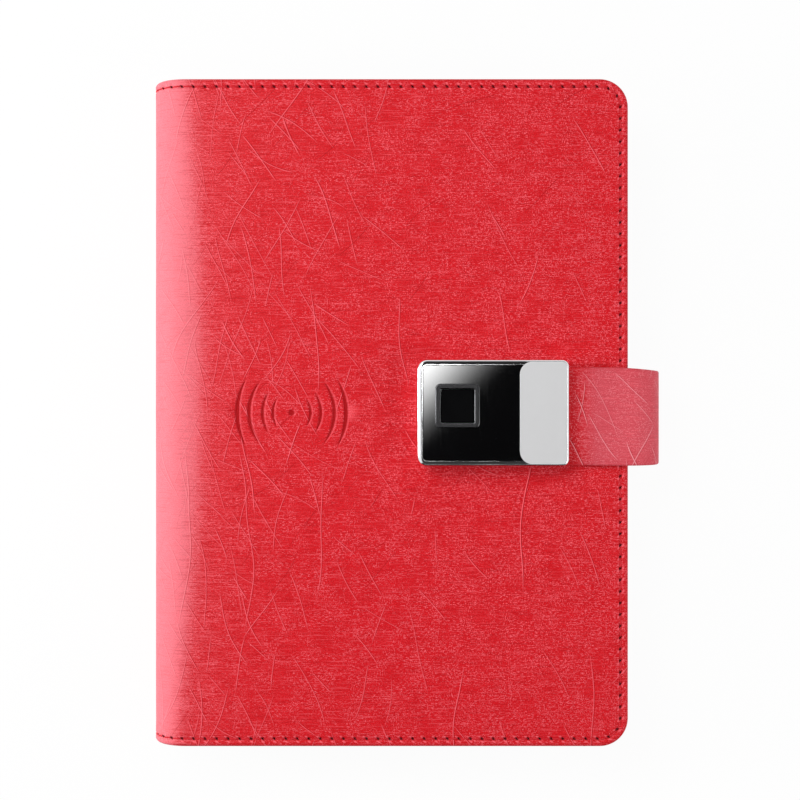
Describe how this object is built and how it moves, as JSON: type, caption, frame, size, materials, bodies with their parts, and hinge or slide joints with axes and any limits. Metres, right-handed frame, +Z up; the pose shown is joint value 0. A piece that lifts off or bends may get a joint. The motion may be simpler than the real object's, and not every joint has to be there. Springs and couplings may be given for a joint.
{
  "type": "electronic secret diary",
  "caption": "Leather ring-binder diary closed by a strap and a fingerprint lock, with a wireless charging pad in the cover and a power bank inside.",
  "frame": {"origin": "middle of the diary's footprint, on the surface it lies on", "axes": "+Z up through the front cover, +Y towards the head of the pages, +X from the spine towards the strap"},
  "size_m": [0.181, 0.235, 0.043],
  "materials": {
    "red_leather": "satin",
    "red_thread": "matte",
    "cover_board": "matte",
    "lining_fabric": "matte",
    "bright_steel": "satin",
    "black_glass": "gloss",
    "satin_plate": "satin",
    "dark_chrome": "gloss",
    "sensor_black": "satin",
    "green_board": "satin",
    "cell_foil": "satin",
    "socket_steel": "satin",
    "motor_steel": "satin",
    "brass_parts": "satin",
    "black_plastic": "satin",
    "ring_chrome": "gloss",
    "page_paper": "matte",
    "coil_copper": "satin",
    "ferrite": "matte",
    "clear_window": "gloss",
    "screw_steel": "satin"
  },
  "bodies": {
    "back_cover": {"back_leather": "red_leather", "back_board": "cover_board", "back_lining": "lining_fabric", "back_thread": "red_thread", "hinge_leather_back": "red_leather", "strap_root": "red_leather", "ring_channel": "ring_chrome", "channel_rivets": "ring_chrome", "page_block": "page_paper"},
    "spine": {"spine_leather": "red_leather", "spine_board": "cover_board", "spine_lining": "lining_fabric", "hinge_leather_front": "red_leather"},
    "front_cover": {"front_leather": "red_leather", "front_board": "cover_board", "front_lining": "lining_fabric", "front_thread": "red_thread", "lock_case": "bright_steel", "lock_base": "screw_steel", "lock_backing": "motor_steel", "lock_screws": "screw_steel", "face_panel": "black_glass", "end_plate": "satin_plate", "sensor_bezel": "dark_chrome", "sensor_pad": "sensor_black", "lock_board": "green_board", "lock_cell": "cell_foil", "lock_port": "socket_steel", "lock_motor": "motor_steel", "motor_cradle": "black_plastic", "bolt_guide": "black_plastic", "charging_coil": "coil_copper", "ferrite_sheet": "ferrite", "bank_case": "black_plastic", "bank_lid": "black_plastic", "bank_screws": "screw_steel", "battery_cell": "cell_foil", "charger_board": "green_board", "usb_a_socket": "socket_steel", "usb_c_socket": "socket_steel", "light_window": "clear_window", "button_switch": "black_plastic"},
    "strap_rise": {"strap_riser": "red_leather"},
    "strap_end": {"strap_flap": "red_leather", "strap_tongue": "bright_steel"},
    "drive_screw": {"motor_screw": "brass_parts"},
    "latch": {"latch_bolt": "brass_parts"},
    "left_rings": {"ring_set_left": "ring_chrome"},
    "right_rings": {"ring_set_right": "ring_chrome"},
    "head_lever": {"lever_head": "ring_chrome"},
    "tail_lever": {"lever_tail": "ring_chrome"},
    "leaf": {"page_leaf": "page_paper"},
    "bank_button": {"power_button": "satin_plate"}
  },
  "joints": [
    {"name": "spine_fold", "type": "hinge", "parent": "back_cover", "child": "spine", "pos_m": [-0.08699, 0, 0.00351], "axis": [0, -1, 0], "range_deg": [0, 87], "deforming": ["hinge_leather_back"]},
    {"name": "cover_fold", "type": "hinge", "parent": "spine", "child": "front_cover", "pos_m": [-0.08699, 0, 0.02949], "axis": [0, -1, 0], "range_deg": [0, 87], "deforming": ["hinge_leather_front"]},
    {"name": "strap_riser_swing", "type": "hinge", "parent": "back_cover", "child": "strap_rise", "pos_m": [0.08628, 0, 0.00542], "axis": [0, 1, 0], "range_deg": [0, 90], "deforming": ["strap_root", "strap_riser"]},
    {"name": "strap_flap_swing", "type": "hinge", "parent": "strap_rise", "child": "strap_end", "pos_m": [0.08628, 0, 0.03118], "axis": [0, 1, 0], "range_deg": [0, 90], "deforming": ["strap_flap", "strap_tongue"]},
    {"name": "motor_screw_turn", "type": "hinge", "parent": "front_cover", "child": "drive_screw", "pos_m": [0.032, 0, 0.0368], "axis": [0, 1, 0], "range_deg": [0, 1440]},
    {"name": "latch_slide", "type": "slide", "parent": "front_cover", "child": "latch", "axis": [0, 1, 0], "range_m": [0, 0.002]},
    {"name": "ring_left_open", "type": "hinge", "parent": "back_cover", "child": "left_rings", "pos_m": [-0.0805, 0, 0.0056], "axis": [0, -1, 0], "range_deg": [0, 8]},
    {"name": "ring_right_open", "type": "hinge", "parent": "back_cover", "child": "right_rings", "pos_m": [-0.0635, 0, 0.0056], "axis": [0, 1, 0], "range_deg": [0, 8]},
    {"name": "lever_head_tip", "type": "hinge", "parent": "back_cover", "child": "head_lever", "pos_m": [-0.072, 0.1102, 0.0064], "axis": [-1, 0, 0], "range_deg": [0, 20]},
    {"name": "lever_tail_tip", "type": "hinge", "parent": "back_cover", "child": "tail_lever", "pos_m": [-0.072, -0.1102, 0.0064], "axis": [1, 0, 0], "range_deg": [0, 20]},
    {"name": "leaf_turn", "type": "hinge", "parent": "back_cover", "child": "leaf", "pos_m": [-0.072, 0, 0.015], "axis": [0, -1, 0], "range_deg": [0, 168]},
    {"name": "power_button_press", "type": "slide", "parent": "front_cover", "child": "bank_button", "axis": [-1, 0, 0], "range_m": [0, 0.0005], "stiffness_N_per_m": 400}
  ],
  "couplings": [
    {"joint": "cover_fold", "follows": "spine_fold", "ratio": 1},
    {"joint": "leaf_turn", "follows": "spine_fold", "ratio": 1.931},
    {"joint": "strap_flap_swing", "follows": "strap_riser_swing", "ratio": 1},
    {"joint": "motor_screw_turn", "follows": "latch_slide", "rad_per_m": 12566},
    {"joint": "ring_right_open", "follows": "ring_left_open", "ratio": 1},
    {"joint": "lever_head_tip", "follows": "ring_left_open", "ratio": 2.5},
    {"joint": "lever_tail_tip", "follows": "ring_left_open", "ratio": 2.5}
  ]
}
